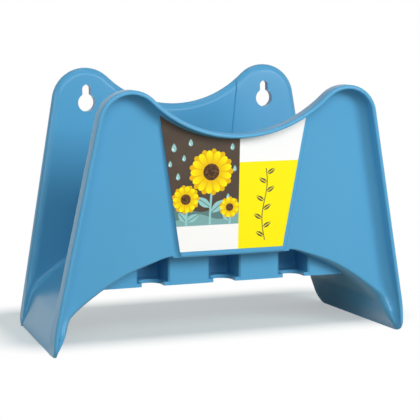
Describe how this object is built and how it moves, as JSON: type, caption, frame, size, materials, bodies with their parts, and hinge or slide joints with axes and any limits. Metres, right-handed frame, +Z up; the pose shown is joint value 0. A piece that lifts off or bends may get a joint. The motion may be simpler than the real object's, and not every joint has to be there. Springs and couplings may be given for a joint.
{
  "type": "wall hose hanger",
  "caption": "Moulded wall hanger for a coiled garden hose: an arched channel between eared plates, with keyholes, a slotted holder for hose fittings and a label.",
  "frame": {"origin": "centre of the bounding box in X and Y, at the level of the leg ends", "axes": "+X along the wall to the right as seen from the front, +Y into the wall, +Z up"},
  "size_m": [0.2488, 0.137, 0.181],
  "materials": {
    "blue_plastic": "satin moulded polypropylene",
    "printed_film": "printed film"
  },
  "bodies": {
    "root": {"wall_plate": "blue_plastic", "front_plate": "blue_plastic", "label_panel": "blue_plastic", "product_label": "printed_film", "hose_saddle": "blue_plastic", "holder_lug_outer_left": "blue_plastic", "holder_lug_inner_left": "blue_plastic", "holder_lug_inner_right": "blue_plastic", "holder_lug_outer_right": "blue_plastic", "holder_pocket_left": "blue_plastic", "holder_pocket_centre": "blue_plastic", "holder_pocket_right": "blue_plastic"}
  },
  "joints": []
}
